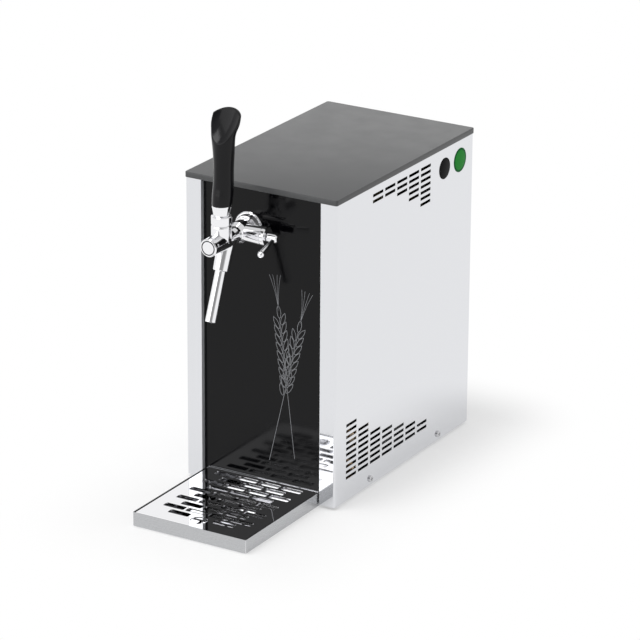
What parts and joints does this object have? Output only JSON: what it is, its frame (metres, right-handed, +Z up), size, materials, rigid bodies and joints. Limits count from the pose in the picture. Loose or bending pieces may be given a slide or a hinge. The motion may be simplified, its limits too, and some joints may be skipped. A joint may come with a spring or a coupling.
{
  "type": "beer tap cooler",
  "caption": "Upright countertop beer cooler with a steel case, black front, compensator tap with tall handle and inclined spout, and a loose drip tray in front.",
  "frame": {"origin": "on the table, under the middle of the whole object's box", "axes": "+Z up, the tap and the drip tray face -Y, +X across the case towards the flow lever's side"},
  "size_m": [0.181, 0.434, 0.4193],
  "materials": {
    "stainless": "polished stainless sheet",
    "zinc_steel": "zinc-plated sheet",
    "gloss_black": "gloss black panel",
    "lid_black": "satin black plastic",
    "rubber_black": "matt rubber",
    "screw_steel": "plain steel",
    "tap_chrome": "polished chrome",
    "handle_black": "satin black plastic",
    "white_plastic": "moulded plastic",
    "tray_steel": "satin stainless sheet",
    "grille_steel": "mirror-polished stainless",
    "black_enamel": "black enamel",
    "black_plastic": "moulded plastic",
    "fin_aluminium": "plain aluminium",
    "copper": "drawn copper tube",
    "foam": "rigid foam",
    "pipe_steel": "drawn stainless tube",
    "hose_plastic": "polyethylene hose",
    "fitting_grey": "moulded plastic",
    "rocker_red": "moulded plastic"
  },
  "bodies": {
    "cabinet": {"base_pan": "zinc_steel", "left_side_panel": "stainless", "right_side_panel": "stainless", "back_panel": "zinc_steel", "front_panel": "gloss_black", "front_bulkhead": "zinc_steel", "lid_rails": "zinc_steel", "lid": "lid_black", "rubber_feet": "rubber_black", "casing_screws": "screw_steel", "tap_rosette": "tap_chrome", "tap_shank": "tap_chrome", "shank_nut": "screw_steel", "coupling_nut": "tap_chrome", "compensator_body": "tap_chrome", "gland_nut": "tap_chrome", "tap_body": "tap_chrome", "lever_pin": "screw_steel", "front_cap": "tap_chrome", "spout_collar": "tap_chrome", "spout": "tap_chrome", "compressor": "black_enamel", "compressor_grommets": "rubber_black", "terminal_cover": "black_plastic", "condenser_fins": "fin_aluminium", "condenser_coil": "copper", "fan_shroud": "zinc_steel", "fan_bracket": "zinc_steel", "fan_motor": "black_enamel", "shelf": "zinc_steel", "cooling_block": "fin_aluminium", "block_insulation": "foam", "beer_inlet_pipe": "pipe_steel", "beer_outlet_pipe": "pipe_steel", "discharge_pipe": "copper", "liquid_pipe": "copper", "filter_drier": "copper", "capillary_pipe": "copper", "suction_pipe": "copper", "air_pump": "black_plastic", "air_hose": "hose_plastic", "beer_inlet_fitting": "fitting_grey", "air_outlet_fitting": "fitting_grey", "cable_gland": "black_plastic", "thermostat": "black_plastic", "switch_housing": "black_plastic"},
    "lever": {"tap_lever": "tap_chrome", "handle_ferrule": "tap_chrome", "tap_handle": "handle_black"},
    "plunger_rod": {"plunger": "screw_steel", "plunger_seal": "rubber_black"},
    "flow_lever": {"compensator_spindle": "screw_steel", "compensator_lever": "tap_chrome"},
    "flow_cone": {"compensator_cone": "white_plastic"},
    "tray": {"drip_tray": "tray_steel", "tray_pads": "rubber_black"},
    "grille": {"drip_grille": "grille_steel"},
    "fan": {"fan_blades": "white_plastic"},
    "knob": {"thermostat_knob": "black_plastic"},
    "rocker": {"switch_rocker": "rocker_red"}
  },
  "joints": [
    {"name": "handle_tilt", "type": "hinge", "parent": "cabinet", "child": "lever", "pos_m": [-0.0164, -0.1247, 0.296], "axis": [1, 0, 0], "range_deg": [0, 30]},
    {"name": "plunger_slide", "type": "slide", "parent": "cabinet", "child": "plunger_rod", "axis": [0, 1, 0], "range_m": [0, 0.004]},
    {"name": "flow_turn", "type": "hinge", "parent": "cabinet", "child": "flow_lever", "pos_m": [0.0036, -0.0895, 0.285], "axis": [1, 0, 0], "range_deg": [-70, 70]},
    {"name": "cone_slide", "type": "slide", "parent": "cabinet", "child": "flow_cone", "axis": [0, 1, 0], "range_m": [-0.00114, 0.00114]},
    {"name": "tray_pull", "type": "slide", "parent": "cabinet", "child": "tray", "axis": [0, -1, 0], "range_m": [0, 0.1]},
    {"name": "grille_lift", "type": "slide", "parent": "tray", "child": "grille", "axis": [0, 0, 1], "range_m": [0, 0.05]},
    {"name": "fan_spin", "type": "hinge", "parent": "cabinet", "child": "fan", "pos_m": [0, -0.009, 0.0625], "axis": [0, 1, 0], "continuous": true},
    {"name": "thermostat_turn", "type": "hinge", "parent": "cabinet", "child": "knob", "pos_m": [0, 0.21, 0.2905], "axis": [0, -1, 0], "range_deg": [0, 270]},
    {"name": "switch_rock", "type": "hinge", "parent": "cabinet", "child": "rocker", "pos_m": [-0.054, 0.197, 0.2885], "axis": [1, 0, 0], "range_deg": [-18, 0]}
  ],
  "couplings": [
    {"joint": "plunger_slide", "follows": "handle_tilt", "m_per_rad": 0.00763},
    {"joint": "cone_slide", "follows": "flow_turn", "m_per_rad": -0.000923}
  ]
}
